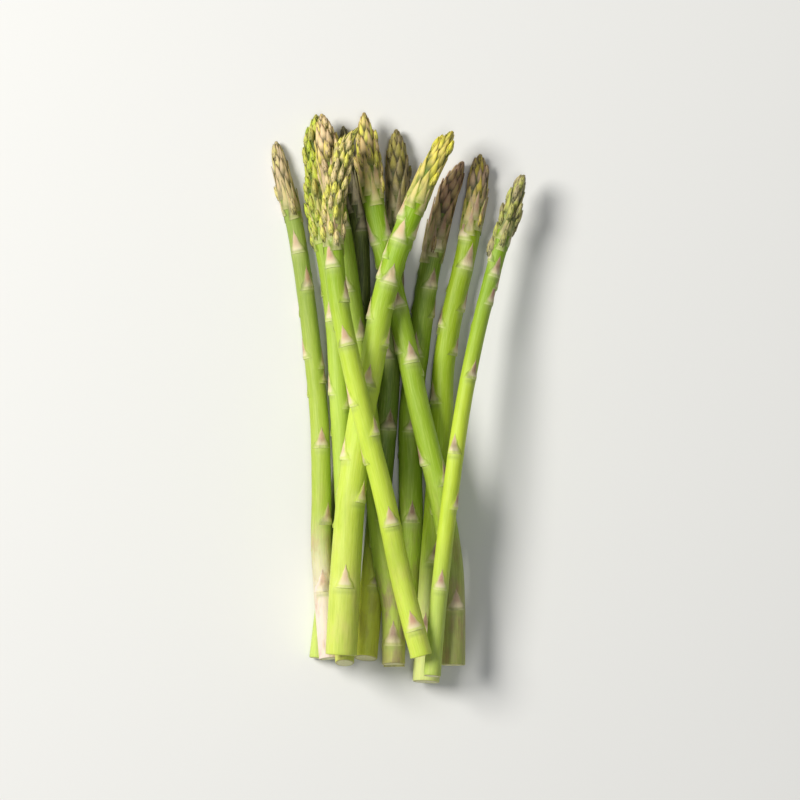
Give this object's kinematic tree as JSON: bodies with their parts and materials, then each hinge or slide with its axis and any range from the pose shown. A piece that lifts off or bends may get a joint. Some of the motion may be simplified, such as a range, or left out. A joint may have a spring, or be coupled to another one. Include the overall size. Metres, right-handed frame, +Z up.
{
  "type": "bundle of asparagus",
  "caption": "Loose bunch of fresh green asparagus spears lying in a low crossing pile, pointed scaly heads at one end, cut ends at the other.",
  "frame": {"origin": "on the surface that the bunch lies on, under the middle of its bounding box", "axes": "+Z up, +Y along the spears towards their tips, +X to the right seen from above"},
  "size_m": [0.1076, 0.2407, 0.0391],
  "materials": {
    "green_spear": "waxy fresh green skin, satin",
    "bright_spear": "waxy bright yellow-green skin, satin",
    "shaded_spear": "waxy dull olive-green skin, satin",
    "purple_spear": "waxy green skin with a purple-brown head, satin"
  },
  "bodies": {
    "root": {"spear_01": "shaded_spear", "spear_02": "shaded_spear", "spear_03": "purple_spear", "spear_04": "green_spear", "spear_05": "bright_spear", "spear_06": "green_spear", "spear_07": "green_spear", "spear_08": "green_spear", "spear_09": "bright_spear", "spear_10": "green_spear", "spear_11": "bright_spear"}
  },
  "joints": []
}
